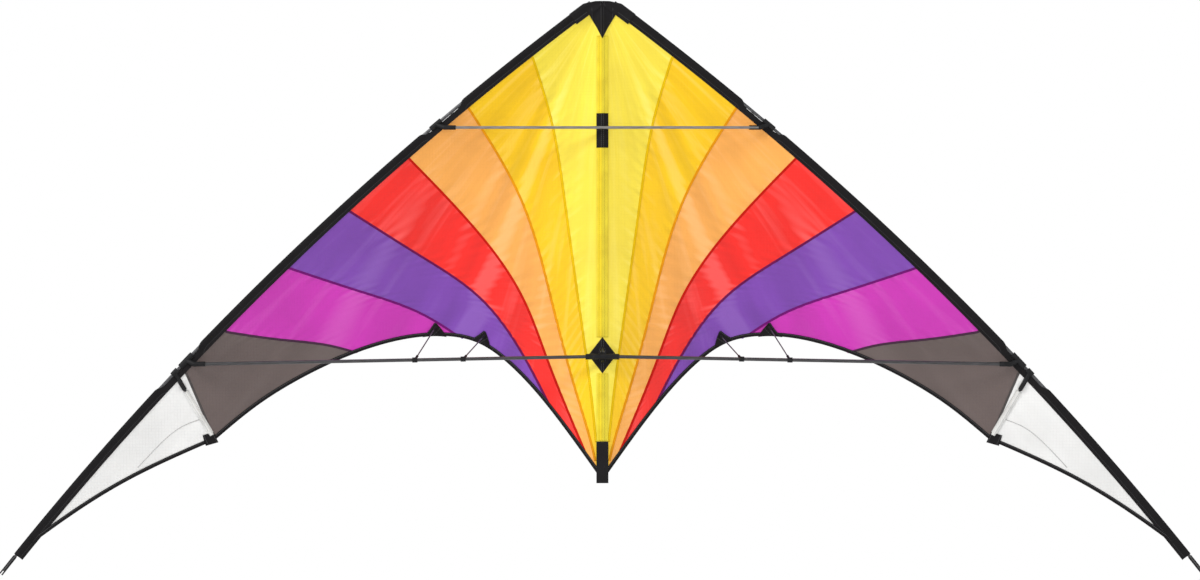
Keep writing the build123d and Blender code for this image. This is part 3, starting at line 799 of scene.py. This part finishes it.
# A flat webbing with soft edges, closed all round, whose back bulges over the spine's foot by
# bulge * exp(-(x / foot)^4).
def buildTail():
    material = stitched("tail_webbing", blackWebbing, tail["thread"], (3.0, 16.0), weave=1.2)
    z = np.linspace(tail["top"], tail["bottom"], 80)[:, None]
    turn = np.linspace(0, 2 * math.pi, 56, endpoint=False)[None]
    x = tail["half"] * np.sign(np.cos(turn)) * np.abs(np.cos(turn)) ** 0.35
    lump = np.exp(-(x / tail["foot"]) ** 4)
    back = np.where(np.sin(turn) > 0, tail["bulge"] * lump + tail["thick"], 0.0)
    y = tail["front"] - 0.4 * lump + back
    points = np.stack(np.broadcast_arrays(x, y, z), -1)
    piece = gridMesh("tail_pocket", points, ring=True, closed=True)
    finishWith(piece, material, "spine", ["tail_webbing"])


buildTail()


print("materials on the frame")
levelStreaks, uprightStreaks = (60, 900, 900), (900, 900, 60)  # long where the number is small
lowerAcross = carbonRod("carbon_level", levelStreaks, (0.010, 0.010, 0.011), (0.060, 0.058, 0.064))
# The upper spreader's carbon is painted paler than the lower one's: painted highlight along the rod.
upperAcrossPaintedHighlight = carbonRod("carbon_painted_highlight", levelStreaks, (0.13, 0.125, 0.12), (0.28, 0.27, 0.26))
uprightRod = carbonRod("carbon_upright", uprightStreaks)
slantedRod = carbonRod("carbon_edge", (300, 900, 300))
vinyl = moulded("vinyl_fittings")
ferrule = moulded("ferrule_tube", (0.030, 0.030, 0.032), (0.35, 0.5))
cordBraid = braided("tension_cord")
# By a part of the node's name. The nodes that none of these fits are vinyl fittings.
keptMaterials = (("spine_rod", uprightRod), ("upper_spreader_rod", upperAcrossPaintedHighlight),
                 ("spreader_rod", lowerAcross), ("leading_edge_upper", slantedRod),
                 ("leading_edge_lower", slantedRod), ("standoff_rod", slantedRod), ("ferrule", ferrule),
                 ("tension_loop", cordBraid))
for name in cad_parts:
    node = bpy.data.objects.get(name)
    if node is None or node.type != "MESH":
        continue
    chosen = next((m for key, m in keptMaterials if key in name), vinyl)
    node.data.materials.clear()
    node.data.materials.append(chosen)


print("light and camera")
# Metres from here on. Each light: name, place, size and power. All face one spot on the kite.
studio = {"floorLevel": -0.66, "floorRadius": 2.9, "world": 0.70, "spot": (0, 0, 0.1),
          "lights": (("key", (-2.6, -2.4, 2.6), 1.2, 84.0), ("fill", (2.8, -3.2, 0.4), 2.5, 30.0),
                     ("back", (0.6, 3.0, 1.8), 2.4, 52.0))}
view = {"distance": 6.0, "seenWidth": 1.902, "x": -0.0038, "z": 0.105, "sensor": 36.0}


# A round floor.
def buildFloor():
    turn = np.linspace(0, 2 * math.pi, 96, endpoint=False)
    radius = np.linspace(0.02, studio["floorRadius"] * 1000, 12)
    x, y = radius[:, None] * np.cos(turn), radius[:, None] * np.sin(turn)
    floorGrid = np.stack([x, y, np.full_like(x, studio["floorLevel"] * 1000)], -1)
    floor = gridMesh("studio_floor", floorGrid, ring=True)
    n = Nodes("floor_paint")
    cloud = n.noise(n.place(), 3.0, 3.0)
    paint = n.finish(n.mix(cloud, (0.80, 0.80, 0.80), (0.84, 0.84, 0.84)), n.range(cloud, 0.3, 0.7, 0.7, 0.8))
    floor.data.materials.append(paint)


# A plain world that lights the kite softly and is white behind it.
def buildWorld():
    world = bpy.data.worlds.new("studio")
    bpy.context.scene.world = world
    world.use_nodes = True
    tree = world.node_tree
    sky = tree.nodes["Background"]
    sky.inputs[0].default_value = (1, 1, 1, 1)
    sight = tree.nodes.new("ShaderNodeLightPath").outputs["Is Camera Ray"]
    strength = tree.nodes.new("ShaderNodeMapRange")
    strength.inputs["To Min"].default_value, strength.inputs["To Max"].default_value = studio["world"], 1.0
    tree.links.new(sight, strength.inputs["Value"])
    tree.links.new(strength.outputs[0], sky.inputs[1])


# Soft square lights, each turned to face the spot.
def buildLights():
    for name, place, size, power in studio["lights"]:
        data = bpy.data.lights.new(name, "AREA")
        data.size, data.energy = size, power
        lamp = bpy.data.objects.new(name, data)
        bpy.context.scene.collection.objects.link(lamp)
        lamp.location = place
        lamp.rotation_euler = (Vector(studio["spot"]) - Vector(place)).to_track_quat("-Z", "Y").to_euler()


# A long lens square to the kite: focal length = sensor width * distance / width seen.
def buildCamera():
    camera = bpy.data.cameras.new("camera")
    cameraObject = bpy.data.objects.new("camera", camera)
    bpy.context.scene.collection.objects.link(cameraObject)
    camera.sensor_width = view["sensor"]
    camera.lens = view["sensor"] * view["distance"] / view["seenWidth"]
    camera.clip_start, camera.clip_end = 0.1, 60
    cameraObject.location = (view["x"], -view["distance"], view["z"])
    cameraObject.rotation_euler = (math.radians(90), 0, 0)
    bpy.context.scene.camera = cameraObject
    bpy.context.scene.view_settings.view_transform = "Standard"


buildFloor()
buildWorld()
buildLights()
buildCamera()
